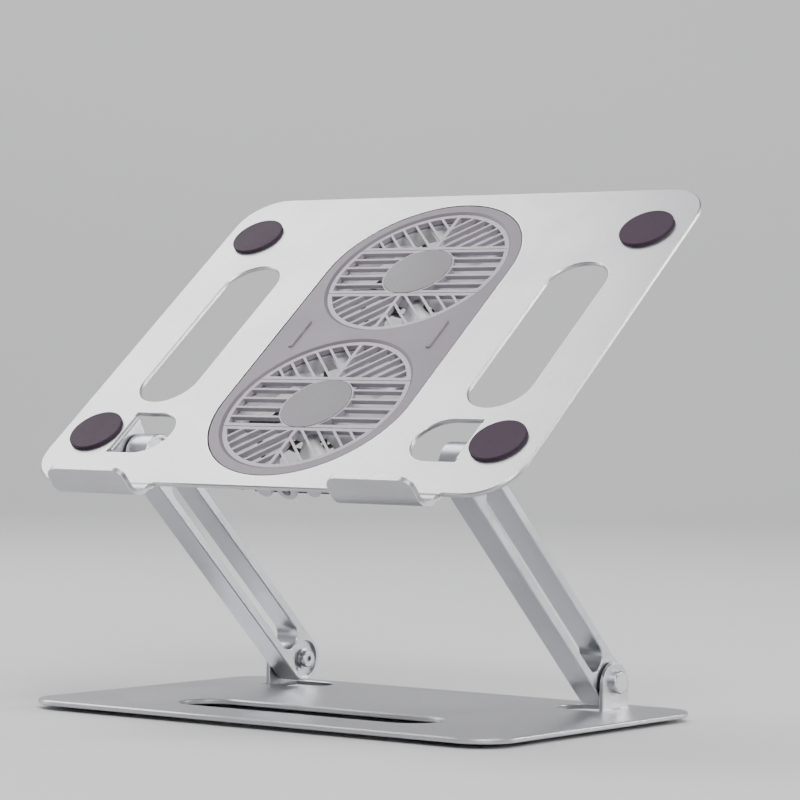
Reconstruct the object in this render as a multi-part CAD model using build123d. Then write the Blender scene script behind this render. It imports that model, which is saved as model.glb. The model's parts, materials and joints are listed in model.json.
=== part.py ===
from build123d import *
import os
from math import atan, cos, radians, sin, sqrt

# Laptop cooling pad: a sheet-metal base, two friction-hinged arms and a sheet-metal tray
# that carries two fans.  Millimetres, +Z up, X across the width, Y from front to rear.
# The origin is on the table, under the middle of the object's footprint.

# ---------------------------------------------------------------- sheet metal
SHEET = 2.5                  # thickness of the tray and base sheet
EDGE = 0.6                   # chamfer round the outlines of both plates
RIM = 0.4                    # chamfer round the smaller openings
WINDOW_REACH = 28.5          # length of a D-shaped window, from the bend towards the middle
LUG_X = 100.0                # inner face of every hinge lug, from the middle plane

# ---------------------------------------------------------------- base
BASE_WIDTH = 274.0
BASE_DEPTH = 186.6
BASE_RADIUS = 20.0
BASE_CENTRE_Y = 10.73        # the laptop stops overhang the base in front
FOOT_HEIGHT = 2.3
FOOT_RADIUS = 9.0
FOOT_X = 114.0
FOOT_Y = 70.0
TROUGH_LENGTH = 149.0        # long obround opening for pens and cables
TROUGH_WIDTH = 34.0
TROUGH_Y = -43.0             # from the base's middle
BASE_WINDOW_HALF = 16.0
BASE_LUG_HALF = 11.8
BASE_LUG_TIP_DROP = 2.1      # centre of the lug's round end, below the pivot

# ---------------------------------------------------------------- arms and their pose
ARM_LENGTH = 160.0           # from pivot to pivot
ARM_RADIUS = 11.5            # half the arm's height, and its end radius
ARM_THICK = 13.4
ARM_OUTER_X = 99.1           # outer face, from the middle plane
ARM_EDGE = 0.5
ARM_ANGLE = 41.0             # slope of the arms, degrees above the base
SLOT_RADIUS = 6.65
SLOT_FROM = 18.8             # centres of the slot's round ends, from the lower pivot
SLOT_TO = 138.2
RECESS_RADIUS = 9.6
RECESS_DEPTH = 1.5
PIVOT_BEHIND_MIDDLE = 68.4   # lower pivot, behind the base's middle
PIVOT_HEIGHT = 13.1          # lower pivot, above the base's top face
BORE_FIT = 0.05              # radial clearance of an arm on its hinge screw
OPEN_PIVOT_GAP = 0.3         # radial clearance at the right-hand tray pivot

# ---------------------------------------------------------------- hinge hardware
SCREW_RADIUS = 3.0
SCREW_HEAD_RADIUS = 4.5
SCREW_HEAD_HEIGHT = 2.8
SOCKET_SIZE = 3.0            # hexagon across its flats
SOCKET_DEPTH = 1.4
CAP_NUT_RADIUS = 5.6
CAP_NUT_HEIGHT = 3.0
CAP_NUT_BORE_DEPTH = 1.8
WASHER_GAP = 0.2             # between a washer and the arm's face
FRICTION_WASHER_RADIUS = 9.5
SPRING_WASHER_RADIUS = 5.3
SPRING_WASHER_HEIGHT = 1.0
PIN_RADIUS = 0.9
PIN_OFFSET = 7.0             # locating pin, from the pivot
PIN_LENGTH = 3.0
PIN_STAND = 0.8              # height of the pin above the recess's floor

# ---------------------------------------------------------------- tray
TRAY_WIDTH = 280.0
TRAY_DEPTH = 234.0
TRAY_RADIUS = 23.0
TRAY_TILT = 38.75            # degrees
TRAY_PIVOT_V = 37.165         # upper pivot, from the tray's front edge
TRAY_PIVOT_DROP = 15.648    # upper pivot, below the tray's top face
TRAY_WINDOW_HALF = 15.0
TRAY_LUG_ROOT_HALF = 12.6
TRAY_LUG_RADIUS = 10.5
HANDLE_LENGTH = 112.0
HANDLE_WIDTH = 33.0
HANDLE_U = 98.0
HANDLE_V = 117.5
PAD_RADIUS = 13.9
PAD_HEIGHT = 1.8
PAD_ROUND = 0.5              # rounding of a pad's upper edge
PAD_U = 118.0
PAD_V = (36.6, 199.5)

# ---------------------------------------------------------------- laptop stops
STOP_FROM_U = 58.8
STOP_TO_U = 105.9
STOP_HEIGHT = 19.3           # above the tray's top face
STOP_BEND = 9.6              # radius of the bend, on the middle of the sheet
STOP_RISE = 1.4              # small upward joggle at the root
STOP_RUN = 3.9               # length of that joggle
STOP_CORNER = 6.0

# ---------------------------------------------------------------- fan bezel and grilles
FAN_V = (63.2, 169.3)        # fan axes, from the tray's front edge
FAN_PITCH = FAN_V[1] - FAN_V[0]
FAN_MID_V = (FAN_V[0] + FAN_V[1]) / 2
BEZEL_RADIUS = 55.0
BEZEL_GAP = 0.4
BEZEL_TOP = -0.1             # all heights below are from the tray's top face
FLANGE_RADIUS = 60.0
BEZEL_BOTTOM = -4.4
POCKET_RADIUS = 48.1
DISH_RADIUS = 49.6           # upper rim of the sloping wall round each grille
GRILLE_RADIUS = 48.0
GRILLE_OPENING = 45.8
GRILLE_TOP = -1.0
GRILLE_BOTTOM = -3.4
HUB_RADIUS = 18.9
CAP_RADIUS = 18.3
CAP_TOP = -0.8
CAP_POCKET = -1.9
GRIP_U = 41.0
GRIP_WIDTH = 3.0
GRIP_LENGTH = 21.5
GRIP_HEIGHT = 0.8
DOUBLE_BAR_W = 18.1          # double cross bars, from the fan's axis
DOUBLE_BAR_WIDTH = 4.5
GROOVE = 0.5
SLAT_W = (3.5, 10.5)
SLAT_WIDTH = 1.3
SPINE_WIDTH = 1.9
CHEVRON_FIRST = 35.3         # apex of the outermost chevron, from the fan's axis
CHEVRON_STEP = 9.35
CHEVRON_COUNT = 6
CHEVRON_WIDTH = 1.25

# ---------------------------------------------------------------- fan housing
HOUSING_FLANGE_BOTTOM = -5.8
DUCT_OUTER = 48.4
DUCT_INNER = 47.0
GUARD_TOP = -12.6
GUARD_BOTTOM = -13.8
GUARD_EDGE = 1.1
GUARD_RINGS = (20.0, 32.5)
GUARD_RING_WIDTH = 2.2
GUARD_DISC = 15.0
GUARD_SPOKES = 6
CASE_SCREW_CIRCLE = 58.0       # radius of the screws' path round the bezel's opening
CASE_SCREW_ANGLE = 35.0        # of the end screws, from a fan's cross line
CASE_SCREW_RADIUS = 1.2
CASE_SCREW_HEAD = 2.0
CASE_SCREW_HEAD_HEIGHT = 1.3
CASE_SCREW_TOP = -1.2

# ---------------------------------------------------------------- control pod under the front edge
POD_FROM_U = -9.0
POD_TO_U = 33.0
POD_FRONT = 10.4
POD_WALL = 1.2
POD_BACK = 14.4
POD_BOTTOM = -12.7
POD_CHAMFER = 0.8            # along the lower front edge
CONTROL_N = -8.6             # height of the three controls
DIAL_U = -1.5
DIAL_RADIUS = 4.7
DIAL_FRONT = 8.2
DIAL_GAP = 0.3
DIAL_SHAFT = 1.5
DIAL_FLUTES = 16
SENSOR_RADIUS = 2.7
SOCKET_U = 12.0
SOCKET_RADIUS = 5.6
SOCKET_FRONT = 7.6
SOCKET_BARREL = 3.5
SOCKET_BORE = 2.75
SOCKET_PIN = 0.85
BUTTON_U = 27.5
BUTTON_RADIUS = 3.7
BUTTON_FRONT = 7.6
BUTTON_BACK = 9.3
BUTTON_STEM = 2.0
BUTTON_TRAVEL = 0.8
SWITCH_HALF = 2.6
BOARD_FRONT = 13.0
BOARD_THICK = 1.0

# ---------------------------------------------------------------- fans
FRAME_OUTER = 46.8
FRAME_INNER = 45.0
FRAME_TOP = -4.5
FRAME_BOTTOM = -12.5
STRUT_TOP = -11.3
STRUT_WIDTH = 4.0
STRUTS = 4
MOTOR_PLATE = 15.0
TUBE_OUTER = 3.6
TUBE_INNER = 2.6
TUBE_TOP = -7.2
SHAFT_RADIUS = 1.0
SHAFT_FIT = 0.03
SHAFT_BOTTOM = -11.8
IMPELLER_RADIUS = 43.8
IMPELLER_HUB = 17.4
IMPELLER_TOP = -4.7
IMPELLER_BOTTOM = -11.0
HUB_WALL = 1.2
BOSS_RADIUS = 2.4
BOSS_BOTTOM = -6.9
BLADE_TOP = -5.3
BLADE_COUNT = 9
BLADE_PITCH = 22.0           # degrees from the plane of the fan
BLADE_SWEEP = 16.0           # degrees that the tip leads the root
BLADE_THICK = 1.1
MAGNET_OUTER = 16.15
MAGNET_INNER = 14.4
STATOR_RADIUS = 13.7
STATOR_TOP = -7.9
STATOR_BOTTOM = -10.5
POLES = 4
POLE_HALF = 2.0
CORE_RADIUS = 6.2
SHOE_THICK = 1.6
SHOE_ANGLE = 60.0            # degrees covered by one pole shoe
COIL_FROM = 6.6
COIL_TO = 11.6
COIL_SIDE = 1.0              # thickness of a coil beside its pole
COIL_END = 0.5               # thickness of a coil above and below its pole

BASE_TOP = FOOT_HEIGHT + SHEET
PIVOT_Y = BASE_CENTRE_Y + PIVOT_BEHIND_MIDDLE
PIVOT_Z = BASE_TOP + PIVOT_HEIGHT
UPPER_Y = PIVOT_Y - ARM_LENGTH * cos(radians(ARM_ANGLE))
UPPER_Z = PIVOT_Z + ARM_LENGTH * sin(radians(ARM_ANGLE))
ARM_INNER_X = ARM_OUTER_X - ARM_THICK

BASE = Pos(0, BASE_CENTRE_Y, BASE_TOP)
LOWER_PIVOT = Pos(0, PIVOT_Y, PIVOT_Z)
UPPER_PIVOT = Pos(0, UPPER_Y, UPPER_Z) * Rot(TRAY_TILT, 0, 0)
TRAY = UPPER_PIVOT * Pos(0, -TRAY_PIVOT_V, TRAY_PIVOT_DROP)
FANS = {"front": TRAY * Pos(0, FAN_V[0], 0), "rear": TRAY * Pos(0, FAN_V[1], 0)}


# ---------------------------------------------------------------- shared shapes
def disc(radius, top, bottom):
    """Round plate on the Z axis between two heights."""
    stock = Cylinder(radius, top - bottom, align=(Align.CENTER, Align.CENTER, Align.MIN))
    return Pos(0, 0, bottom) * stock


def ring(outer, inner, top, bottom):
    """Round tube on the Z axis between two heights."""
    return disc(outer, top, bottom) - disc(inner, top, bottom)


def rod_x(radius, start, end):
    """Round bar along X."""
    return Rot(0, 90, 0) * disc(radius, end, start)


def rod_y(radius, start, end):
    """Round bar along Y."""
    return Rot(-90, 0, 0) * disc(radius, end, start)


def slab(outline, top, bottom):
    """Flat outline in XY turned into a plate between two heights."""
    return Pos(0, 0, bottom) * extrude(outline, amount=top - bottom)


def block(x, y, z):
    """Box from three (low, high) pairs."""
    size = [high - low for low, high in (x, y, z)]
    middle = [(high + low) / 2 for low, high in (x, y, z)]
    return Pos(*middle) * Box(*size)


def fan_oblong(radius):
    """Obround outline round both fan axes, in the tray's plane."""
    return Pos(0, FAN_MID_V) * SlotCenterToCenter(FAN_PITCH, 2 * radius, rotation=90)


def mirrored(shape):
    """The same piece on the other side of the middle plane."""
    return mirror(shape, about=Plane.YZ)


def both_sides(shape):
    return shape + mirrored(shape)


def flat_face_edges(shape, axis):
    """Every edge of the flat faces that look along one axis, at both ends of the shape."""
    groups = shape.edges().group_by(axis)
    return groups[0] + groups[-1]


# ---------------------------------------------------------------- bent sheet
def lug_window(half_height):
    """D-shaped window on the right, cut through to the far side of the bend."""
    straight = WINDOW_REACH - half_height
    middle = Pos(LUG_X + SHEET / 2 - straight / 2) * Rectangle(straight + SHEET, 2 * half_height)
    return middle + Pos(LUG_X - straight) * Circle(half_height)


def cut_windows(plate, middle_y, half_height):
    """Cut a window on each side and break its rims, except where the lug's bend will be."""
    plate -= both_sides(slab(Pos(0, middle_y) * lug_window(half_height), 0, -SHEET))
    nearest = LUG_X - WINDOW_REACH - RIM
    rims = []
    for edge in flat_face_edges(plate, Axis.Z):
        middle = edge.center()
        inside = abs(middle.Y - middle_y) < half_height + RIM
        if inside and nearest < abs(middle.X) < LUG_X + SHEET / 2:
            rims.append(edge)
    return chamfer(rims, RIM)


def hinge_lug(reach, root_half, tip_radius, tip_rise):
    """Right-hand lug below a plate, seen from its pivot; the plate's near face is `reach` up."""
    sides = Polyline(
        (-root_half, reach),
        (root_half, reach),
        (tip_radius, tip_rise),
        (-tip_radius, tip_rise),
        close=True,
    )
    outline = make_face(sides) + Pos(0, tip_rise) * Circle(tip_radius)
    leaf = extrude(Plane.YZ * outline, amount=SHEET)
    rim = [e for e in flat_face_edges(leaf, Axis.X) if e.center().Z < reach - RIM]
    leaf = chamfer(rim, RIM)
    bend = Pos(SHEET, 0, reach) * Rot(90, 0, 0) * Cylinder(SHEET, 2 * root_half)
    bend &= block((0, SHEET), (-root_half, root_half), (reach, reach + SHEET))
    hole = rod_x(SCREW_RADIUS + BORE_FIT, 0, SHEET)
    return leaf + bend - hole


def stop_profile():
    """Edge-on outline of a laptop stop: a small joggle, a round bend and an upright lip."""
    half_angle = 2 * atan(STOP_RISE / STOP_RUN)
    joggle = STOP_RUN / (2 * sin(half_angle))
    start = -SHEET / 2
    floor = start + STOP_RISE
    knee = (-STOP_RUN / 2, start + STOP_RISE / 2)
    first_mid = (-joggle * sin(half_angle / 2), start + joggle * (1 - cos(half_angle / 2)))
    second_mid = (-STOP_RUN - first_mid[0], floor + start - first_mid[1])
    bend_mid = (-STOP_RUN - STOP_BEND * sin(radians(45)), floor + STOP_BEND * (1 - cos(radians(45))))
    bend_end = (-STOP_RUN - STOP_BEND, floor + STOP_BEND)
    root = Line((SHEET, start), (0, start))
    up = ThreePointArc((0, start), first_mid, knee)
    down = ThreePointArc(knee, second_mid, (-STOP_RUN, floor))
    bend = ThreePointArc((-STOP_RUN, floor), bend_mid, bend_end)
    lip = Line(bend_end, (bend_end[0], STOP_HEIGHT))
    return trace(Curve() + [root, up, down, bend, lip], line_width=SHEET)


def laptop_stop():
    """Right-hand laptop stop, with round upper corners."""
    width = STOP_TO_U - STOP_FROM_U
    strip = Pos(STOP_FROM_U) * extrude(Plane.YZ * stop_profile(), amount=width)
    height = 2 * STOP_HEIGHT
    front = Plane.XZ * RectangleRounded(width, height, STOP_CORNER)
    mask = Pos((STOP_FROM_U + STOP_TO_U) / 2) * extrude(front, amount=STOP_HEIGHT, both=True)
    return strip & mask


def base_plate():
    """Base sheet with its trough, its two windows and the two lugs bent up behind them."""
    outline = RectangleRounded(BASE_WIDTH, BASE_DEPTH, BASE_RADIUS)
    outline -= Pos(0, TROUGH_Y) * SlotOverall(TROUGH_LENGTH, TROUGH_WIDTH)
    plate = slab(outline, 0, -SHEET)
    plate = chamfer(flat_face_edges(plate, Axis.Z), EDGE)
    plate = cut_windows(plate, PIVOT_BEHIND_MIDDLE, BASE_WINDOW_HALF)
    lug = hinge_lug(PIVOT_HEIGHT, BASE_LUG_HALF, BASE_LUG_HALF, BASE_LUG_TIP_DROP)
    lug = Pos(LUG_X, PIVOT_BEHIND_MIDDLE, PIVOT_HEIGHT) * Rot(180, 0, 0) * lug
    return BASE * (plate + both_sides(lug))


def tray_plate():
    """Tray sheet with its fan opening, handles, windows, lugs and laptop stops."""
    outline = Pos(0, TRAY_DEPTH / 2) * RectangleRounded(TRAY_WIDTH, TRAY_DEPTH, TRAY_RADIUS)
    for side in (-1, 1):
        handle = SlotOverall(HANDLE_LENGTH, HANDLE_WIDTH, rotation=90)
        outline -= Pos(side * HANDLE_U, HANDLE_V) * handle
    plate = slab(outline, 0, -SHEET)
    plate = chamfer(flat_face_edges(plate, Axis.Z), EDGE)
    plate = cut_windows(plate, TRAY_PIVOT_V, TRAY_WINDOW_HALF)
    plate -= slab(fan_oblong(BEZEL_RADIUS + BEZEL_GAP), 0, -SHEET)
    reach = TRAY_PIVOT_DROP - SHEET
    lug = hinge_lug(reach, TRAY_LUG_ROOT_HALF, TRAY_LUG_RADIUS, 0)
    lug = Pos(LUG_X, TRAY_PIVOT_V, -TRAY_PIVOT_DROP) * lug
    body = plate + both_sides(lug) + both_sides(laptop_stop())
    return TRAY * (body - case_screw_holes())


# ---------------------------------------------------------------- arms
def arm(upper_gap):
    """Right-hand arm: a slotted bar with a bore and an inner recess at each pivot."""
    outline = Pos(ARM_LENGTH / 2) * SlotCenterToCenter(ARM_LENGTH, 2 * ARM_RADIUS)
    slot = SlotCenterToCenter(SLOT_TO - SLOT_FROM, 2 * SLOT_RADIUS)
    outline -= Pos((SLOT_FROM + SLOT_TO) / 2) * slot
    bar = Pos(ARM_INNER_X) * extrude(Plane.YZ * outline, amount=ARM_THICK)
    bar = chamfer(flat_face_edges(bar, Axis.X), ARM_EDGE)
    for along, gap in ((0, BORE_FIT), (ARM_LENGTH, upper_gap)):
        bore = rod_x(SCREW_RADIUS + gap, ARM_INNER_X, ARM_OUTER_X)
        recess = rod_x(RECESS_RADIUS, ARM_INNER_X, ARM_INNER_X + RECESS_DEPTH)
        bar -= Pos(0, along) * (bore + recess)
    return bar - arm_pins()


def arm_pins():
    """Small locating pins pressed into the floors of an arm's two recesses."""
    floor = ARM_INNER_X + RECESS_DEPTH
    pin = Pos(0, 0, PIN_OFFSET) * rod_x(PIN_RADIUS, floor - PIN_STAND, floor + PIN_LENGTH)
    return pin + Pos(0, ARM_LENGTH) * pin


def on_arm(shape):
    """Place a piece drawn along +Y from the lower pivot onto the sloping arm."""
    return LOWER_PIVOT * Rot(180 - ARM_ANGLE, 0, 0) * shape


# ---------------------------------------------------------------- hinge hardware, on its pivot
def pivot_screw():
    """Socket screw from the arm's recess out through the lug into the cap nut."""
    washer_face = ARM_INNER_X + RECESS_DEPTH - WASHER_GAP - SPRING_WASHER_HEIGHT
    tip = LUG_X + SHEET + CAP_NUT_BORE_DEPTH
    head_end = washer_face - SCREW_HEAD_HEIGHT
    head = rod_x(SCREW_HEAD_RADIUS, head_end, washer_face)
    head = chamfer(head.edges().group_by(Axis.X)[0], RIM)
    hexagon = Plane.YZ * RegularPolygon(SOCKET_SIZE / 2, 6, major_radius=False)
    socket = Pos(head_end) * extrude(hexagon, amount=SOCKET_DEPTH)
    return head + rod_x(SCREW_RADIUS, washer_face, tip) - socket


def cap_nut():
    """Round cap nut outside the lug."""
    face = LUG_X + SHEET
    nut = rod_x(CAP_NUT_RADIUS, face, face + CAP_NUT_HEIGHT)
    nut = chamfer(nut.edges().group_by(Axis.X)[-1], EDGE)
    return nut - rod_x(SCREW_RADIUS, face, face + CAP_NUT_BORE_DEPTH)


def spring_washer():
    """Washer under the screw's head, in the arm's recess."""
    outer_face = ARM_INNER_X + RECESS_DEPTH - WASHER_GAP
    inner_face = outer_face - SPRING_WASHER_HEIGHT
    hole = rod_x(SCREW_RADIUS, inner_face, outer_face)
    return rod_x(SPRING_WASHER_RADIUS, inner_face, outer_face) - hole


def friction_washer():
    """Washer that fills the gap between arm and lug."""
    start = ARM_OUTER_X + WASHER_GAP
    return rod_x(FRICTION_WASHER_RADIUS, start, LUG_X) - rod_x(SCREW_RADIUS, start, LUG_X)


# ---------------------------------------------------------------- bezel, grilles and pads
def control_notch():
    """Room cut out of both flanges for the controls under the front edge."""
    return block((POD_FROM_U, POD_TO_U), (0, POD_FRONT), (HOUSING_FLANGE_BOTTOM, -SHEET))


def grille_pocket():
    """Seat of a grille, with a wall that slopes outwards above it."""
    align = (Align.CENTER, Align.CENTER, Align.MIN)
    dish = Cone(POCKET_RADIUS, DISH_RADIUS, BEZEL_TOP - GRILLE_TOP, align=align)
    return Pos(0, 0, GRILLE_TOP) * dish + disc(POCKET_RADIUS, GRILLE_TOP, GRILLE_BOTTOM)


def fan_bezel():
    """Oblong insert: a land in the tray's opening and a flange under the tray."""
    land = slab(fan_oblong(BEZEL_RADIUS), BEZEL_TOP, -SHEET)
    land = chamfer(land.edges().group_by(Axis.Z)[-1], RIM)
    bezel = land + slab(fan_oblong(FLANGE_RADIUS), -SHEET, BEZEL_BOTTOM)
    for v in FAN_V:
        bezel -= Pos(0, v) * (grille_pocket() + disc(GRILLE_OPENING, GRILLE_BOTTOM, BEZEL_BOTTOM))
    for side in (-1, 1):
        grip = slab(SlotOverall(GRIP_LENGTH, GRIP_WIDTH, rotation=90), GRIP_HEIGHT, 0)
        grip = chamfer(grip.edges().group_by(Axis.Z)[-1], RIM)
        bezel += Pos(side * GRIP_U, FAN_MID_V, BEZEL_TOP) * grip
    return TRAY * (bezel - control_notch() - case_screw_holes())


def chevron_bars():
    """45-degree bars in the four corners of a grille, mirrored about both of its axes."""
    length = 2 * GRILLE_OPENING
    bars = Sketch()
    for i in range(CHEVRON_COUNT):
        apex = CHEVRON_FIRST - i * CHEVRON_STEP
        for side in (-1, 1):
            bar = Rectangle(CHEVRON_WIDTH, length * sqrt(2), rotation=-45 * side)
            bars += Pos(side * length / 2, apex + length / 2) * bar
    return bars


def grille():
    """Round grille in its own plane: ring, hub, cross bars, slats, spine and chevrons."""
    far = 2 * GRILLE_OPENING
    corner_start = DOUBLE_BAR_W
    upper_field = Pos(0, corner_start + far / 2) * Rectangle(2 * far, far)
    bars = chevron_bars() & upper_field
    bars += Pos(0, corner_start + far / 2) * Rectangle(SPINE_WIDTH, far)
    bars += Pos(0, DOUBLE_BAR_W) * Rectangle(far, DOUBLE_BAR_WIDTH)
    for w in SLAT_W:
        bars += Pos(0, w) * Rectangle(far, SLAT_WIDTH)
    bars += mirror(bars, about=Plane.XZ)
    bars &= Circle(GRILLE_OPENING + EDGE)
    body = slab(bars, GRILLE_TOP, GRILLE_BOTTOM)
    body += ring(GRILLE_RADIUS, GRILLE_OPENING, GRILLE_TOP, GRILLE_BOTTOM)
    body += disc(HUB_RADIUS, GRILLE_TOP, GRILLE_BOTTOM)
    for side in (-1, 1):
        groove = block((-far, far), (-GROOVE / 2, GROOVE / 2), (GRILLE_TOP - GROOVE, GRILLE_TOP))
        body -= Pos(0, side * DOUBLE_BAR_W) * (groove & disc(GRILLE_OPENING, 0, GRILLE_BOTTOM))
    return body - disc(CAP_RADIUS, GRILLE_TOP, CAP_POCKET)


def hub_cap():
    cap = disc(CAP_RADIUS, CAP_TOP, CAP_POCKET)
    return chamfer(cap.edges().group_by(Axis.Z)[-1], RIM)


def grip_pad():
    """Round rubber pad on the tray's top face."""
    pad = disc(PAD_RADIUS, PAD_HEIGHT, 0)
    return fillet(pad.edges().group_by(Axis.Z)[-1], PAD_ROUND)


# ---------------------------------------------------------------- housing, screws and controls
def case_screw_spots():
    """Places of the screws that hold the housing and the bezel up against the tray."""
    end_u = CASE_SCREW_CIRCLE * cos(radians(CASE_SCREW_ANGLE))
    end_v = CASE_SCREW_CIRCLE * sin(radians(CASE_SCREW_ANGLE))
    spots = [(0, FAN_MID_V)]
    for side in (-1, 1):
        spots.append((side * end_u, FAN_V[0] - end_v))
        spots.append((side * CASE_SCREW_CIRCLE, FAN_MID_V))
        spots.append((side * end_u, FAN_V[1] + end_v))
    return spots


def case_screw_holes():
    """Blind holes for the case screws, as one cutter."""
    hole = disc(CASE_SCREW_RADIUS, CASE_SCREW_TOP, HOUSING_FLANGE_BOTTOM)
    return Compound([Pos(u, v) * hole for u, v in case_screw_spots()])


def case_screws():
    """The case screws, as separate solids."""
    shank = disc(CASE_SCREW_RADIUS, CASE_SCREW_TOP, HOUSING_FLANGE_BOTTOM)
    head_end = HOUSING_FLANGE_BOTTOM - CASE_SCREW_HEAD_HEIGHT
    head = disc(CASE_SCREW_HEAD, HOUSING_FLANGE_BOTTOM, head_end)
    head = chamfer(head.edges().group_by(Axis.Z)[0], RIM)
    return TRAY * Compound([Pos(u, v) * (shank + head) for u, v in case_screw_spots()])


def intake_guard():
    """Ring-and-spoke guard closing the bottom of one duct."""
    guard = disc(GUARD_DISC, GUARD_TOP, GUARD_BOTTOM)
    for radius in GUARD_RINGS:
        guard += ring(radius + GUARD_RING_WIDTH, radius, GUARD_TOP, GUARD_BOTTOM)
    half = GUARD_RING_WIDTH / 2
    for i in range(GUARD_SPOKES):
        spoke = block((0, DUCT_INNER), (-half, half), (GUARD_BOTTOM, GUARD_TOP))
        guard += Rot(0, 0, i * 360 / GUARD_SPOKES) * spoke
    return guard


def fan_duct():
    """Round duct wall with its guard."""
    wall = disc(DUCT_OUTER, BEZEL_BOTTOM, GUARD_BOTTOM)
    wall = chamfer(wall.edges().group_by(Axis.Z)[0], GUARD_EDGE)
    return wall - disc(DUCT_INNER, BEZEL_BOTTOM, GUARD_BOTTOM) + intake_guard()


def pod_outside():
    """Small box in front of the front duct."""
    box = block((POD_FROM_U, POD_TO_U), (POD_FRONT, POD_BACK + POD_WALL), (POD_BOTTOM, BEZEL_BOTTOM))
    lower_front = box.edges().filter_by(Axis.X).group_by(Axis.Z)[0].sort_by(Axis.Y)[0]
    return chamfer(lower_front, POD_CHAMFER)


def pod_inside():
    """Room inside that box, open upwards under the bezel."""
    return block(
        (POD_FROM_U + POD_WALL, POD_TO_U - POD_WALL),
        (POD_FRONT + POD_WALL, POD_BACK),
        (POD_BOTTOM + POD_WALL, BEZEL_BOTTOM),
    )


def fan_housing():
    """Lower shell: flange, two ducts and the control pod."""
    shell = slab(fan_oblong(FLANGE_RADIUS), BEZEL_BOTTOM, HOUSING_FLANGE_BOTTOM)
    shell = shell - control_notch() + pod_outside() - pod_inside()
    for v in FAN_V:
        shell -= Pos(0, v) * disc(DUCT_OUTER - RIM, BEZEL_BOTTOM, GUARD_BOTTOM)
        shell += Pos(0, v) * fan_duct()
    shell -= control_holes()
    return TRAY * (shell - case_screw_holes())


def control_holes():
    """Holes in the pod's front wall, and the socket's groove in its floor."""
    wall_end = POD_FRONT + POD_WALL
    dial = Pos(DIAL_U) * rod_y(DIAL_SHAFT + DIAL_GAP, POD_FRONT, wall_end)
    socket = Pos(SOCKET_U) * rod_y(SOCKET_BARREL, POD_FRONT, BOARD_FRONT)
    button = Pos(BUTTON_U) * rod_y(BUTTON_STEM + DIAL_GAP, POD_FRONT, wall_end)
    return Pos(0, 0, CONTROL_N) * Compound([dial, socket, button])


def on_pod(u, shape):
    return TRAY * Pos(u, 0, CONTROL_N) * shape


def speed_dial():
    """Fluted speed dial with its shaft."""
    knob = rod_y(DIAL_RADIUS, DIAL_FRONT, POD_FRONT - DIAL_GAP)
    knob = chamfer(knob.edges().group_by(Axis.Y)[0], RIM)
    flute = rod_y(RIM, DIAL_FRONT, POD_FRONT - DIAL_GAP)
    for i in range(DIAL_FLUTES):
        knob -= Rot(0, i * 360 / DIAL_FLUTES, 0) * Pos(DIAL_RADIUS) * flute
    return on_pod(DIAL_U, knob + rod_y(DIAL_SHAFT, POD_FRONT - DIAL_GAP, BOARD_FRONT - DIAL_GAP))


def dial_sensor():
    """Potentiometer that the dial's shaft turns in."""
    front = POD_FRONT + POD_WALL
    body = rod_y(SENSOR_RADIUS, front, BOARD_FRONT)
    return on_pod(DIAL_U, body - rod_y(DIAL_SHAFT + BORE_FIT, front, BOARD_FRONT))


def power_socket():
    """Round power inlet with its collar and centre pin."""
    body = rod_y(SOCKET_RADIUS, SOCKET_FRONT, POD_FRONT)
    body = chamfer(body.edges().group_by(Axis.Y)[0], EDGE)
    body += rod_y(SOCKET_BARREL, POD_FRONT, BOARD_FRONT)
    floor = BOARD_FRONT - POD_WALL
    body -= rod_y(SOCKET_BORE, SOCKET_FRONT, floor)
    return on_pod(SOCKET_U, body + rod_y(SOCKET_PIN, SOCKET_FRONT + EDGE, floor))


def power_button():
    """Round push button with its stem, which stops short of the switch."""
    cap = rod_y(BUTTON_RADIUS, BUTTON_FRONT, BUTTON_BACK)
    cap = chamfer(cap.edges().group_by(Axis.Y)[0], RIM)
    stem_end = POD_FRONT + POD_WALL / 2
    return on_pod(BUTTON_U, cap + rod_y(BUTTON_STEM, BUTTON_BACK, stem_end))


def tactile_switch():
    """Switch on the board behind the button."""
    front = POD_FRONT + POD_WALL / 2 + BUTTON_TRAVEL + DIAL_GAP
    side = (-SWITCH_HALF, SWITCH_HALF)
    return on_pod(BUTTON_U, block(side, (front, BOARD_FRONT), side))


def control_board():
    """Upright circuit board in the pod."""
    margin = POD_WALL + DIAL_GAP
    board = block(
        (POD_FROM_U + margin, POD_TO_U - margin),
        (BOARD_FRONT, BOARD_FRONT + BOARD_THICK),
        (POD_BOTTOM + margin, BEZEL_BOTTOM - DIAL_GAP),
    )
    return TRAY * board


# ---------------------------------------------------------------- fans, each on its own axis
def fan_frame():
    """Duct ring with struts, motor plate and bearing tube."""
    frame = ring(FRAME_OUTER, FRAME_INNER, FRAME_TOP, FRAME_BOTTOM)
    frame += disc(MOTOR_PLATE, STRUT_TOP, FRAME_BOTTOM)
    half = STRUT_WIDTH / 2
    for i in range(STRUTS):
        strut = block((MOTOR_PLATE / 2, FRAME_INNER + EDGE), (-half, half), (FRAME_BOTTOM, STRUT_TOP))
        frame += Rot(0, 0, 45 + i * 360 / STRUTS) * strut
    frame += disc(TUBE_OUTER, TUBE_TOP, STRUT_TOP)
    return frame - disc(TUBE_INNER, TUBE_TOP, SHAFT_BOTTOM - EDGE / 2)


def bearing():
    """Plain sleeve in the bearing tube."""
    return ring(TUBE_INNER, SHAFT_RADIUS + SHAFT_FIT, TUBE_TOP, SHAFT_BOTTOM)


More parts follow.
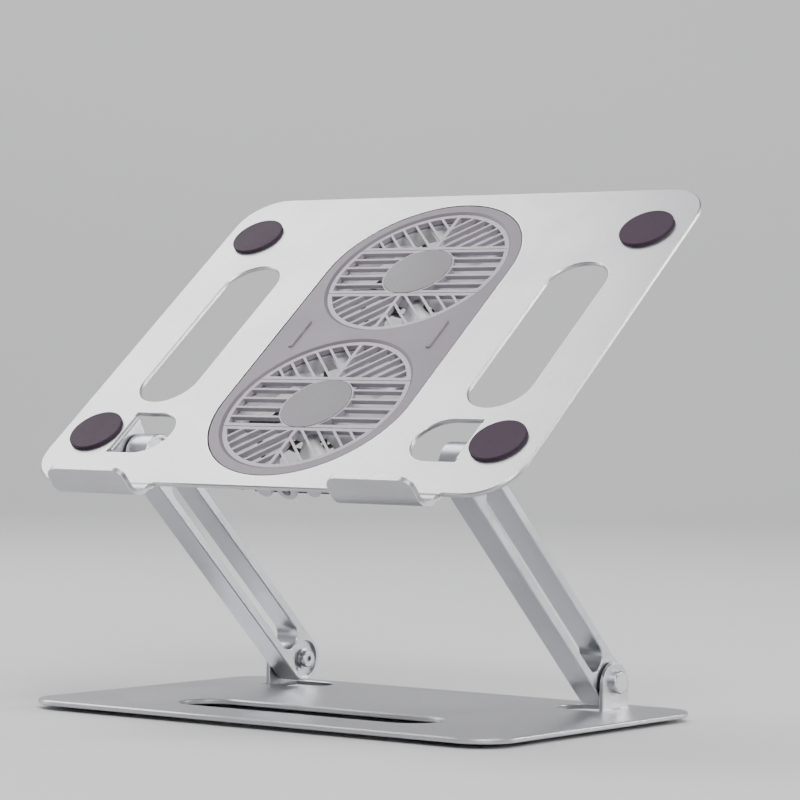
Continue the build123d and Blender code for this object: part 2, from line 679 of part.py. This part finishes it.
def stator():
    """Laminated core with one tooth and shoe for each pole."""
    core = ring(CORE_RADIUS, TUBE_OUTER, STATOR_TOP, STATOR_BOTTOM)
    tooth = block(
        (TUBE_OUTER + EDGE, STATOR_RADIUS - SHOE_THICK / 2),
        (-POLE_HALF, POLE_HALF),
        (STATOR_BOTTOM, STATOR_TOP),
    )
    for i in range(POLES):
        core += Rot(0, 0, i * 360 / POLES) * (tooth + pole_shoe())
    return core


def pole_shoe():
    """Arc-shaped pole shoe, centred on +X."""
    height = STATOR_TOP - STATOR_BOTTOM
    wedge = Rot(0, 0, -SHOE_ANGLE / 2) * Cylinder(STATOR_RADIUS, height, arc_size=SHOE_ANGLE)
    wedge = Pos(0, 0, STATOR_BOTTOM + height / 2) * wedge
    return wedge - disc(STATOR_RADIUS - SHOE_THICK, STATOR_TOP, STATOR_BOTTOM)


def windings():
    """One coil round each pole, as separate solids."""
    outer = POLE_HALF + COIL_SIDE
    coil = block((COIL_FROM, COIL_TO), (-outer, outer), (STATOR_BOTTOM - COIL_END, STATOR_TOP + COIL_END))
    coil -= block((COIL_FROM, COIL_TO), (-POLE_HALF, POLE_HALF), (STATOR_BOTTOM, STATOR_TOP))
    return Compound([Rot(0, 0, i * 360 / POLES) * coil for i in range(POLES)])


def impeller():
    """Hub cup with its boss and swept, pitched blades."""
    wheel = disc(IMPELLER_HUB, IMPELLER_TOP, IMPELLER_BOTTOM)
    wheel = chamfer(wheel.edges().group_by(Axis.Z)[-1], EDGE)
    wheel -= disc(IMPELLER_HUB - HUB_WALL, IMPELLER_TOP - HUB_WALL, IMPELLER_BOTTOM)
    wheel += disc(BOSS_RADIUS, IMPELLER_TOP - HUB_WALL, BOSS_BOTTOM)
    for i in range(BLADE_COUNT):
        wheel += Rot(0, 0, i * 360 / BLADE_COUNT) * blade()
    return wheel - disc(SHAFT_RADIUS, IMPELLER_TOP - HUB_WALL / 2, BOSS_BOTTOM)


def blade_section(radius, lead):
    """Slanted section of a blade at one radius, turned `lead` degrees about the fan's axis."""
    middle = (BLADE_TOP + IMPELLER_BOTTOM) / 2
    chord = 2 * (BLADE_TOP - IMPELLER_BOTTOM) / sin(radians(BLADE_PITCH))
    plane = Plane(origin=(radius, 0, middle), x_dir=(0, 1, 0), z_dir=(1, 0, 0))
    return Rot(0, 0, lead) * plane * Rectangle(chord, BLADE_THICK, rotation=BLADE_PITCH)


def blade():
    """One blade lofted from the hub past the tip, trimmed to the fan's radius and height."""
    root = IMPELLER_HUB - HUB_WALL / 2
    stock = loft([blade_section(root, 0), blade_section(IMPELLER_RADIUS + BLADE_THICK, BLADE_SWEEP)])
    return stock & ring(IMPELLER_RADIUS, root, BLADE_TOP, IMPELLER_BOTTOM)


def magnet_ring():
    """Rotor magnet inside the hub cup."""
    return ring(MAGNET_OUTER, MAGNET_INNER, IMPELLER_TOP - HUB_WALL, STATOR_BOTTOM)


def fan_shaft():
    return disc(SHAFT_RADIUS, IMPELLER_TOP - HUB_WALL / 2, SHAFT_BOTTOM)


# ---------------------------------------------------------------- nodes
def base_nodes():
    nodes = {"base_plate": base_plate()}
    for x_name, x in (("left", -FOOT_X), ("right", FOOT_X)):
        for y_name, y in (("front", -FOOT_Y), ("rear", FOOT_Y)):
            foot = disc(FOOT_RADIUS, -SHEET, -BASE_TOP)
            foot = chamfer(foot.edges().group_by(Axis.Z)[0], RIM)
            nodes[f"foot_{y_name}_{x_name}"] = BASE * Pos(x, y) * foot
    return nodes


def hinge_nodes():
    """Screw, cap nut and washers at each of the four pivots."""
    nodes = {}
    pieces = {
        "screw": pivot_screw(),
        "cap_nut": cap_nut(),
        "spring_washer": spring_washer(),
        "friction_washer": friction_washer(),
    }
    for place, pivot in (("base", LOWER_PIVOT), ("tray", UPPER_PIVOT)):
        for name, piece in pieces.items():
            nodes[f"{place}_{name}_right"] = pivot * piece
            nodes[f"{place}_{name}_left"] = mirrored(pivot * piece)
    return nodes


def arm_nodes():
    left = mirrored(on_arm(arm(BORE_FIT)))
    right = on_arm(arm(OPEN_PIVOT_GAP))
    pins = on_arm(arm_pins())
    return {"left_arm": left, "right_arm": right, "left_arm_pins": mirrored(pins), "right_arm_pins": pins}


def tray_nodes():
    nodes = {"tray_plate": tray_plate(), "fan_bezel": fan_bezel()}
    for x_name, u in (("left", -PAD_U), ("right", PAD_U)):
        for y_name, v in zip(("front", "rear"), PAD_V):
            nodes[f"pad_{y_name}_{x_name}"] = TRAY * Pos(u, v) * grip_pad()
    nodes["fan_housing"] = fan_housing()
    nodes["housing_screws"] = case_screws()
    nodes["power_socket"] = power_socket()
    nodes["speed_dial"] = speed_dial()
    nodes["dial_sensor"] = dial_sensor()
    nodes["power_button"] = power_button()
    nodes["tactile_switch"] = tactile_switch()
    nodes["control_board"] = control_board()
    return nodes


def fan_nodes():
    pieces = {
        "grille": grille(),
        "hub_cap": hub_cap(),
        "fan_frame": fan_frame(),
        "bearing": bearing(),
        "stator": stator(),
        "windings": windings(),
        "impeller": impeller(),
        "magnet_ring": magnet_ring(),
        "fan_shaft": fan_shaft(),
    }
    nodes = {}
    for place, spot in FANS.items():
        for name, piece in pieces.items():
            nodes[f"{place}_{name}"] = spot * piece
    return nodes


def main():
    os.makedirs("parts", exist_ok=True)
    nodes = {**base_nodes(), **hinge_nodes(), **arm_nodes(), **tray_nodes(), **fan_nodes()}
    for name, shape in nodes.items():
        export_step(shape, f"parts/{name}.step")
    print(len(nodes), "nodes", Compound(list(nodes.values())).bounding_box())


main()
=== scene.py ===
import json
from math import cos, pi, radians, sin, tan

import bmesh
import bpy
from mathutils import Matrix, Vector


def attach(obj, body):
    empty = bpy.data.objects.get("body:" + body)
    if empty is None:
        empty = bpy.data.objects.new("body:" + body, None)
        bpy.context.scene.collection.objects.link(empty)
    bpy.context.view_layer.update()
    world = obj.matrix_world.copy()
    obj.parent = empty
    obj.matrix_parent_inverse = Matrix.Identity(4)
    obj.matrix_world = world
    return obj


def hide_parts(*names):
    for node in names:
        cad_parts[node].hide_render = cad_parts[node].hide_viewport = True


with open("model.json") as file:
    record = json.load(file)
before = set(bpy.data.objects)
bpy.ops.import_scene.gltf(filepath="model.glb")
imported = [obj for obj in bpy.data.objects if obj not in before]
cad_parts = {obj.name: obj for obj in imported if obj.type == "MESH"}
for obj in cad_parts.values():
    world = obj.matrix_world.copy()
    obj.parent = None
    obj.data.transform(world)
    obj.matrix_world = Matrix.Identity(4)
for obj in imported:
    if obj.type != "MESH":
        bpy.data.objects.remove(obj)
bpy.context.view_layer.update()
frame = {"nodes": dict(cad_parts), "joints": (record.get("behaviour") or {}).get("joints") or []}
NODES = frame["nodes"]

# Laptop cooling pad: looks, light and camera.  Metres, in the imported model's frame.
MM = 0.001

# ---------------------------------------------------------------- camera
LENS = 139.94
CAMERA_PLACE = (0.88182, -1.21597, 0.15158)
CAMERA_YAW = radians(-35.10)
CAMERA_PITCH = radians(0.05)
CAMERA_ROLL = radians(0.96)


def make_camera():
    """Camera at the photograph's angle and distance."""
    yaw, pitch, roll = CAMERA_YAW, CAMERA_PITCH, CAMERA_ROLL
    forward = Vector((sin(yaw) * cos(pitch), cos(yaw) * cos(pitch), sin(pitch)))
    level = Vector((cos(yaw), -sin(yaw), 0))
    above = level.cross(forward)
    right = cos(roll) * level + sin(roll) * above
    up = cos(roll) * above - sin(roll) * level
    data = bpy.data.cameras.new("camera")
    data.lens = LENS
    camera = bpy.data.objects.new("camera", data)
    bpy.context.scene.collection.objects.link(camera)
    axes = Matrix((right, up, -forward)).transposed().to_4x4()
    camera.matrix_world = Matrix.Translation(CAMERA_PLACE) @ axes
    bpy.context.scene.camera = camera


# ---------------------------------------------------------------- light and floor
SWEEP_RINGS = (0.4, 0.8, 1.3, 1.9, 2.6)
SWEEP_CURVE = 0.9
SWEEP_TOP = 2.4
SWEEP_SIDES = 96
SWEEP_STEP = 10               # degrees between points of the curve
SKY_COLOR = (0.86, 0.87, 0.89, 1)
SKY_STRENGTH = 0.36
FLOOR_COLOR = (0.66, 0.66, 0.67, 1)
FLOOR_ROUGHNESS = 0.55
OBJECT_MIDDLE = (0, 0, 0.13)


def soft_light(name, place, target, size, power):
    """Rectangular soft box at `place`, facing `target`, hidden from the camera."""
    data = bpy.data.lights.new(name, "AREA")
    data.shape = "RECTANGLE"
    data.size, data.size_y = size
    data.energy = power
    light = bpy.data.objects.new(name, data)
    light.visible_camera = False
    bpy.context.scene.collection.objects.link(light)
    away = Vector(place) - Vector(target)
    turn = away.to_track_quat("Z", "Y").to_matrix().to_4x4()
    light.matrix_world = Matrix.Translation(place) @ turn


def make_world():
    """Even grey light from overhead, above the rim of the sweep."""
    world = bpy.data.worlds.new("studio")
    world.use_nodes = True
    background = world.node_tree.nodes["Background"]
    background.inputs["Color"].default_value = SKY_COLOR
    background.inputs["Strength"].default_value = SKY_STRENGTH
    bpy.context.scene.world = world


def make_sweep():
    """Round floor that curves up into a wall on every side."""
    outline = [(r, 0) for r in SWEEP_RINGS]
    flat = SWEEP_RINGS[-1]
    for degrees in range(SWEEP_STEP, 91, SWEEP_STEP):
        angle = radians(degrees)
        outline.append((flat + SWEEP_CURVE * sin(angle), SWEEP_CURVE * (1 - cos(angle))))
    outline.append((flat + SWEEP_CURVE, SWEEP_TOP))
    mesh = bmesh.new()
    centre = mesh.verts.new((0, 0, 0))
    rows = []
    for k in range(SWEEP_SIDES):
        angle = 2 * pi * k / SWEEP_SIDES
        rows.append([mesh.verts.new((r * cos(angle), r * sin(angle), z)) for r, z in outline])
    for first, second in zip(rows, rows[1:] + rows[:1]):
        mesh.faces.new((centre, first[0], second[0]))
        for a, b, c, d in zip(first, first[1:], second[1:], second):
            mesh.faces.new((a, b, c, d))
    data = bpy.data.meshes.new("sweep")
    mesh.to_mesh(data)
    mesh.free()
    data.polygons.foreach_set("use_smooth", [True] * len(data.polygons))
    floor = bpy.data.objects.new("floor", data)
    bpy.context.scene.collection.objects.link(floor)
    material, shader, _ = new_material("floor_paint")
    shader.inputs["Base Color"].default_value = FLOOR_COLOR
    shader.inputs["Roughness"].default_value = FLOOR_ROUGHNESS
    data.materials.append(material)


def make_studio():
    """Soft boxes round the object, and one on the wall behind it."""
    make_world()
    make_sweep()
    middle = OBJECT_MIDDLE
    behind = Vector((sin(CAMERA_YAW), cos(CAMERA_YAW), 0))
    wall_light = behind * 1.4 + Vector((0, 0, 2.1))
    wall_target = behind * 3.2 + Vector((0, 0, 0.4))
    soft_light("key", (-1.2, 0.15, 1.4), middle, (1.1, 1.1), 18)
    soft_light("high_fill", (0.75, -0.85, 1.6), middle, (0.7, 0.7), 20)
    soft_light("right_edge", (1.05, 1.35, 0.55), middle, (0.45, 0.6), 16)
    soft_light("front_right", (1.35, -0.9, 0.75), middle, (0.4, 0.8), 11)
    soft_light("left_edge", (-1.5, -0.6, 0.5), middle, (0.3, 1.0), 8)
    soft_light("chamfers", (1.0, 0.22, 1.65), middle, (0.6, 0.6), 6)
    soft_light("wall", wall_light, wall_target, (2.2, 0.6), 34)


# ---------------------------------------------------------------- material building blocks
def new_material(name):
    """Material with nodes, its shader and its tree."""
    material = bpy.data.materials.new(name)
    material.use_nodes = True
    tree = material.node_tree
    return material, tree.nodes["Principled BSDF"], tree


def put(tree, kind, **values):
    """New node; keyword names are input names with underscores for spaces, or node properties."""
    node = tree.nodes.new("ShaderNode" + kind)
    for key, value in values.items():
        if hasattr(node, key):
            setattr(node, key, value)
        else:
            node.inputs[key.replace("_", " ")].default_value = value
    return node


def millimetres(tree):
    """Object coordinates in millimetres."""
    coordinates = put(tree, "TexCoord")
    scaled = put(tree, "Mapping", Scale=(1 / MM, 1 / MM, 1 / MM))
    tree.links.new(coordinates.outputs["Object"], scaled.inputs["Vector"])
    return scaled.outputs["Vector"]


def noise(tree, vector, size_mm, detail=3.0, roughness=0.55):
    """Noise whose features are about `size_mm` wide, as a 0-1 output."""
    node = put(tree, "TexNoise", Scale=1 / size_mm, Detail=detail, Roughness=roughness)
    tree.links.new(vector, node.inputs["Vector"])
    return node.outputs["Fac"]


def span(tree, value, low, high, start=0.3, end=0.7):
    """Map a 0-1 value's middle part onto low..high."""
    node = put(tree, "MapRange")
    node.inputs["From Min"].default_value = start
    node.inputs["From Max"].default_value = end
    node.inputs["To Min"].default_value = low
    node.inputs["To Max"].default_value = high
    tree.links.new(value, node.inputs["Value"])
    return node.outputs["Result"]


def blend_colors(tree, factor, first, second):
    """Mix two colours, each a tuple or an output, by a 0-1 output."""
    node = put(tree, "Mix", data_type="RGBA")
    tree.links.new(factor, node.inputs[0])
    for socket, color in ((node.inputs[6], first), (node.inputs[7], second)):
        if isinstance(color, tuple):
            socket.default_value = (*color, 1)
        else:
            tree.links.new(color, socket)
    return node.outputs[2]


def math_node(tree, operation, first, second):
    """Clamped sum, product or difference of two values, each a number or an output."""
    node = put(tree, "Math", operation=operation, use_clamp=True)
    for socket, value in ((node.inputs[0], first), (node.inputs[1], second)):
        if isinstance(value, (int, float)):
            socket.default_value = value
        else:
            tree.links.new(value, socket)
    return node.outputs[0]


def edge_mask(tree, radius_mm):
    """1 along outside edges, 0 on flat faces."""
    rounded = put(tree, "Bevel", samples=6, Radius=radius_mm * MM)
    flat = put(tree, "NewGeometry")
    dot = put(tree, "VectorMath", operation="DOT_PRODUCT")
    tree.links.new(rounded.outputs["Normal"], dot.inputs[0])
    tree.links.new(flat.outputs["True Normal"], dot.inputs[1])
    return span(tree, dot.outputs["Value"], 1, 0, 0.80, 0.995)


def relief(tree, shader, height, depth_mm, edge_mm):
    """Bump from `height`, on top of edges rounded to `edge_mm`."""
    rounded = put(tree, "Bevel", samples=6, Radius=edge_mm * MM)
    bump = put(tree, "Bump", Distance=depth_mm * MM, Strength=1.0)
    tree.links.new(height, bump.inputs["Height"])
    tree.links.new(rounded.outputs["Normal"], bump.inputs["Normal"])
    tree.links.new(bump.outputs["Normal"], shader.inputs["Normal"])


def finish(
    name, color, edge_wear_and_highlight, metallic, roughness, grain_mm, depth_mm,
    patch_mm=45.0, edge_mm=0.25, wear_and_highlight_amount=(0, 0.5), spread=0.05, specular=0.5
):
    """A finish with patchy colour and gloss, a fine grain, and lighter, smoother edges; the lighter edge
    colour is part edge wear, part painted highlight.
    """
    material, shader, tree = new_material(name)
    vector = millimetres(tree)
    patches = noise(tree, vector, patch_mm)
    grain = noise(tree, vector, grain_mm, detail=2.0)
    deep = tuple(c * (1 - 2 * spread) for c in color)
    base = blend_colors(tree, span(tree, patches, 0, 1), deep, tuple(color))
    base = blend_colors(tree, span(tree, grain, 0, 0.35), base, tuple(c * (1 - 3 * spread) for c in color))
    edges = edge_mask(tree, 3 * edge_mm)
    # Lighter colour along outside edges, broken up by noise: part wear, part painted highlight.
    wear_and_highlight_mask = math_node(tree, "MULTIPLY", edges, span(tree, noise(tree, vector, 4.0), *wear_and_highlight_amount, 0.35, 0.6))
    tree.links.new(blend_colors(tree, wear_and_highlight_mask, base, tuple(edge_wear_and_highlight)), shader.inputs["Base Color"])
    gloss = span(tree, patches, roughness - 0.05, roughness + 0.05)
    gloss = math_node(tree, "ADD", gloss, span(tree, grain, -0.04, 0.04))
    gloss = math_node(tree, "SUBTRACT", gloss, math_node(tree, "MULTIPLY", wear_and_highlight_mask, 0.2))
    tree.links.new(gloss, shader.inputs["Roughness"])
    shader.inputs["Metallic"].default_value = metallic
    shader.inputs["Specular IOR Level"].default_value = specular
    relief(tree, shader, grain, depth_mm, edge_mm)
    return material


def dress(material, *names):
    """Give a material to every slot of the named CAD nodes."""
    for name in names:
        slots = NODES[name].data.materials
        for i in range(max(1, len(slots))):
            if i < len(slots):
                slots[i] = material
            else:
                slots.append(material)


# ---------------------------------------------------------------- finishes
def named(*endings):
    """CAD nodes whose names end in any of these."""
    return [n for n in NODES if n.endswith(endings)]


def starting(*starts):
    """CAD nodes whose names start with any of these."""
    return [n for n in NODES if n.startswith(starts)]


def dress_metal():
    """Finishes of the sheet, arms, fasteners, bearings and motor parts."""
    # Each second colour is the lighter edge colour: part bare cut metal and wear, part painted highlight
    # along the edges.
    cut_edge_and_highlight = (0.93, 0.93, 0.94)
    sheet = finish(
        "blasted_aluminium", (0.54, 0.54, 0.56), cut_edge_and_highlight, metallic=1.0, roughness=0.37,
        grain_mm=0.9, depth_mm=0.03, wear_and_highlight_amount=(0.6, 1.0), edge_mm=0.3, spread=0.08
    )
    dress(sheet, "base_plate", "tray_plate")
    arms = finish(
        "arm_aluminium", (0.52, 0.53, 0.56), cut_edge_and_highlight, metallic=1.0, roughness=0.32,
        grain_mm=0.3, depth_mm=0.010, wear_and_highlight_amount=(0.6, 1.0)
    )
    dress(arms, "left_arm", "right_arm")
    steel = finish(
        "fastener_steel", (0.55, 0.55, 0.57), (0.8, 0.8, 0.8), metallic=1.0, roughness=0.25,
        grain_mm=0.3, depth_mm=0.004
    )
    screws = [n for n in NODES if "_screw_" in n or "cap_nut" in n or "spring_washer" in n]
    dress(steel, "housing_screws", *screws, *named("_arm_pins", "_fan_shaft"))
    bronze = finish(
        "bearing_bronze", (0.42, 0.27, 0.12), (0.55, 0.38, 0.2), metallic=1.0, roughness=0.4,
        grain_mm=0.3, depth_mm=0.01
    )
    dress(bronze, *named("_bearing"))
    core = finish(
        "core_steel", (0.30, 0.30, 0.32), (0.4, 0.4, 0.4), metallic=1.0, roughness=0.45,
        grain_mm=0.3, depth_mm=0.01
    )
    dress(core, *named("_stator"))
    copper = finish(
        "coil_copper", (0.62, 0.25, 0.10), (0.7, 0.35, 0.2), metallic=1.0, roughness=0.3,
        grain_mm=0.25, depth_mm=0.02
    )
    dress(copper, *named("_windings"))


def dress_mouldings():
    """Finishes of the bezel, grilles, caps, housing, fan frames, washers and controls."""
    # Each second colour is the lighter edge colour: part wear, part painted highlight; on the hub caps it
    # paints a bright rim.
    bezel = finish(
        "bezel_plastic", (0.175, 0.148, 0.182), (0.40, 0.36, 0.41), metallic=0.0, roughness=0.42,
        grain_mm=0.8, depth_mm=0.03, specular=0.4
    )
    dress(bezel, "fan_bezel")
    grille = finish(
        "grille_plastic", (0.31, 0.275, 0.32), (0.62, 0.58, 0.63), metallic=0.0, roughness=0.34,
        grain_mm=0.6, depth_mm=0.015, wear_and_highlight_amount=(0.4, 0.9)
    )
    dress(grille, *named("_grille"))
    cap = finish(
        "cap_plastic", (0.078, 0.065, 0.084), (0.50, 0.46, 0.52), metallic=0.0, roughness=0.30,
        grain_mm=0.6, depth_mm=0.006, wear_and_highlight_amount=(0.5, 1.0), specular=0.4
    )
    dress(cap, *named("_hub_cap"))
    shell = finish(
        "housing_plastic", (0.035, 0.035, 0.038), (0.07, 0.07, 0.07), metallic=0.0, roughness=0.5,
        grain_mm=0.4, depth_mm=0.03
    )
    dress(shell, "fan_housing")
    washer = finish(
        "washer_plastic", (0.02, 0.02, 0.02), (0.05, 0.05, 0.05), metallic=0.0, roughness=0.5,
        grain_mm=0.4, depth_mm=0.01
    )
    dress(washer, *[n for n in NODES if "friction_washer" in n])
    frames = finish(
        "frame_plastic", (0.50, 0.50, 0.52), (0.62, 0.62, 0.63), metallic=0.0, roughness=0.38,
        grain_mm=0.4, depth_mm=0.01
    )
    dress(frames, *named("_fan_frame"))
    control = finish(
        "control_plastic", (0.56, 0.56, 0.58), (0.7, 0.7, 0.7), metallic=0.0, roughness=0.36,
        grain_mm=0.3, depth_mm=0.01
    )
    dress(control, "speed_dial", "power_button", "dial_sensor", "tactile_switch", "power_socket")


def dress_rubber_and_board():
    """Finishes of the pads, feet, magnets and circuit board."""
    # Each second colour is the lighter edge colour: part wear, part painted highlight.
    rubber = finish(
        "pad_rubber", (0.046, 0.027, 0.046), (0.09, 0.06, 0.085), metallic=0.0, roughness=0.68,
        grain_mm=0.9, depth_mm=0.05, specular=0.22
    )
    dress(rubber, *starting("pad_"))
    foot = finish(
        "foot_rubber", (0.03, 0.03, 0.03), (0.06, 0.06, 0.06), metallic=0.0, roughness=0.7,
        grain_mm=0.5, depth_mm=0.03
    )
    dress(foot, *starting("foot_"))
    ferrite = finish(
        "magnet_ferrite", (0.05, 0.05, 0.052), (0.1, 0.1, 0.1), metallic=0.2, roughness=0.55,
        grain_mm=0.3, depth_mm=0.01
    )
    dress(ferrite, *named("_magnet_ring"))
    board = finish(
        "board_green", (0.01, 0.09, 0.035), (0.03, 0.15, 0.06), metallic=0.0, roughness=0.3,
        grain_mm=0.5, depth_mm=0.01
    )
    dress(board, "control_board")


# ---------------------------------------------------------------- impellers
HUB_RADIUS = 17.4
HUB_TOP = -4.7                # heights are from the tray's top face
HUB_BOTTOM = -11.0
HUB_WALL = 1.2
HUB_ROUND = 1.3
BORE = 1.0
BOSS_RADIUS = 2.4
BOSS_BOTTOM = -6.9
LIP = 0.3                     # chamfer of the hub's lower edges
TIP_RADIUS = 43.7
BLADES = 9
BLADE_MID = -8.1
BLADE_RISE = 5.5              # height of a blade between its two edges
ROOT_PITCH = 28.0
TIP_PITCH = 13.5
TIP_LEAD = 17.0               # degrees that the tip leads the root
FIRST_BLADE = 2.0             # degrees from across the tray to the first blade's root
CAMBER = 0.075                # of the chord
ROOT_THICK = 1.5
TIP_THICK = 0.9
STATIONS = 12
PROFILE = 9
SHARP_ANGLE = radians(40)     # creases steeper than this stay sharp
JOINT_HEIGHT = -7.0           # height of the joint's place on the fan's axis


def fan_frame_of(joint):
    """Matrix from a fan's own millimetres to the model's metres."""
    axis = Vector(joint["axis"]).normalized()
    across = Vector((1, 0, 0))
    turn = Matrix((across, axis.cross(across), axis)).transposed().to_4x4()
    origin = Vector(joint["pos_m"]) - axis * JOINT_HEIGHT * MM
    return Matrix.Translation(origin) @ turn @ Matrix.Scale(MM, 4)


def blade_ring(mesh, radius, share):
    """Closed aerofoil section of a blade at one radius, wrapped round the fan's axis."""
    pitch = radians(ROOT_PITCH + (TIP_PITCH - ROOT_PITCH) * share)
    run = BLADE_RISE / tan(pitch)
    chord = BLADE_RISE / sin(pitch)
    thick = ROOT_THICK + (TIP_THICK - ROOT_THICK) * share
    lead = radians(TIP_LEAD) * share ** 1.3
    upper = []
    lower = []
    for i in range(PROFILE):
        t = (1 - cos(pi * i / (PROFILE - 1))) / 2
        half = thick * (t * (1 - t)) ** 0.5 * (1.25 - 0.5 * t)
        bow = 4 * CAMBER * chord * t * (1 - t)
        along = run * (t - 0.5) - bow * sin(pitch)
        height = BLADE_MID + BLADE_RISE * (t - 0.5) + bow * cos(pitch) - CAMBER * chord / 2
        for side, row in ((1, upper), (-1, lower)):
            turn = lead + (along - side * half * sin(pitch)) / radius
            rise = height + side * half * cos(pitch)
            row.append(mesh.verts.new((radius * cos(turn), radius * sin(turn), rise)))
    return upper + lower[-2:0:-1]


def loft(mesh, rings, cap=True):
    """Quads between closed rings of equal length; `cap` closes both ends."""
    for first, second in zip(rings, rings[1:]):
        count = len(first)
        for i in range(count):
            k = (i + 1) % count
            mesh.faces.new((first[i], first[k], second[k], second[i]))
    if cap:
        mesh.faces.new(rings[-1])
        mesh.faces.new(reversed(rings[0]))


def turned(mesh, outline, segments=96):
    """Closed outline of (radius, height) pairs turned round the fan's axis."""
    rings = []
    for k in range(segments):
        angle = 2 * pi * k / segments
        rings.append([mesh.verts.new((r * cos(angle), r * sin(angle), h)) for r, h in outline])
    loft(mesh, rings + rings[:1], cap=False)


def hub_outline():
    """Section of the hub cup: rounded rim, wall and the boss round the shaft."""
    outline = [(BORE, HUB_TOP - HUB_WALL / 2), (BORE + 0.4, HUB_TOP - 0.1), (BORE + 1.4, HUB_TOP)]
    for i in range(7):
        angle = radians(90 - 15 * i)
        outline.append(
            (HUB_RADIUS - HUB_ROUND + HUB_ROUND * cos(angle), HUB_TOP - HUB_ROUND + HUB_ROUND * sin(angle))
        )
    inner = HUB_RADIUS - HUB_WALL
    return outline + [
        (HUB_RADIUS, HUB_BOTTOM + LIP),
        (HUB_RADIUS - LIP, HUB_BOTTOM),
        (inner + 0.2, HUB_BOTTOM),
        (inner, HUB_BOTTOM + LIP),
        (inner, HUB_TOP - HUB_WALL),
        (BOSS_RADIUS, HUB_TOP - HUB_WALL),
        (BOSS_RADIUS, BOSS_BOTTOM),
        (BORE, BOSS_BOTTOM),
    ]


def make_impeller(place_name, material):
    """Moulded impeller: a hub cup with nine twisted, cambered and swept blades."""
    joint = next(j for j in frame["joints"] if j["name"] == place_name + "_fan_spin")
    mesh = bmesh.new()
    turned(mesh, hub_outline())
    root = HUB_RADIUS - HUB_WALL / 2
    for k in range(BLADES):
        before = len(mesh.verts)
        rings = []
        for i in range(STATIONS):
            share = i / (STATIONS - 1)
            rings.append(blade_ring(mesh, root + (TIP_RADIUS - root) * share, share))
        loft(mesh, rings)
        mesh.verts.ensure_lookup_table()
        turn = radians(FIRST_BLADE) + 2 * pi * k / BLADES
        bmesh.ops.rotate(mesh, verts=mesh.verts[before:], matrix=Matrix.Rotation(turn, 3, "Z"))
    bmesh.ops.recalc_face_normals(mesh, faces=mesh.faces)
    mesh.transform(fan_frame_of(joint))
    data = bpy.data.meshes.new(place_name + "_blades")
    mesh.to_mesh(data)
    mesh.free()
    data.polygons.foreach_set("use_smooth", [True] * len(data.polygons))
    data.set_sharp_from_angle(angle=SHARP_ANGLE)
    data.materials.append(material)
    piece = bpy.data.objects.new(place_name + "_fan_blades", data)
    bpy.context.scene.collection.objects.link(piece)
    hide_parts(place_name + "_impeller")
    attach(piece, place_name + "_fan")


make_camera()
make_studio()
dress_metal()
dress_mouldings()
dress_rubber_and_board()
# The second colour is the lighter edge colour: part wear, part painted highlight.
white = finish(
    "fan_plastic", (0.68, 0.68, 0.70), (0.78, 0.78, 0.80), metallic=0.0, roughness=0.28,
    grain_mm=0.4, depth_mm=0.004
)
make_impeller("front", white)
make_impeller("rear", white)
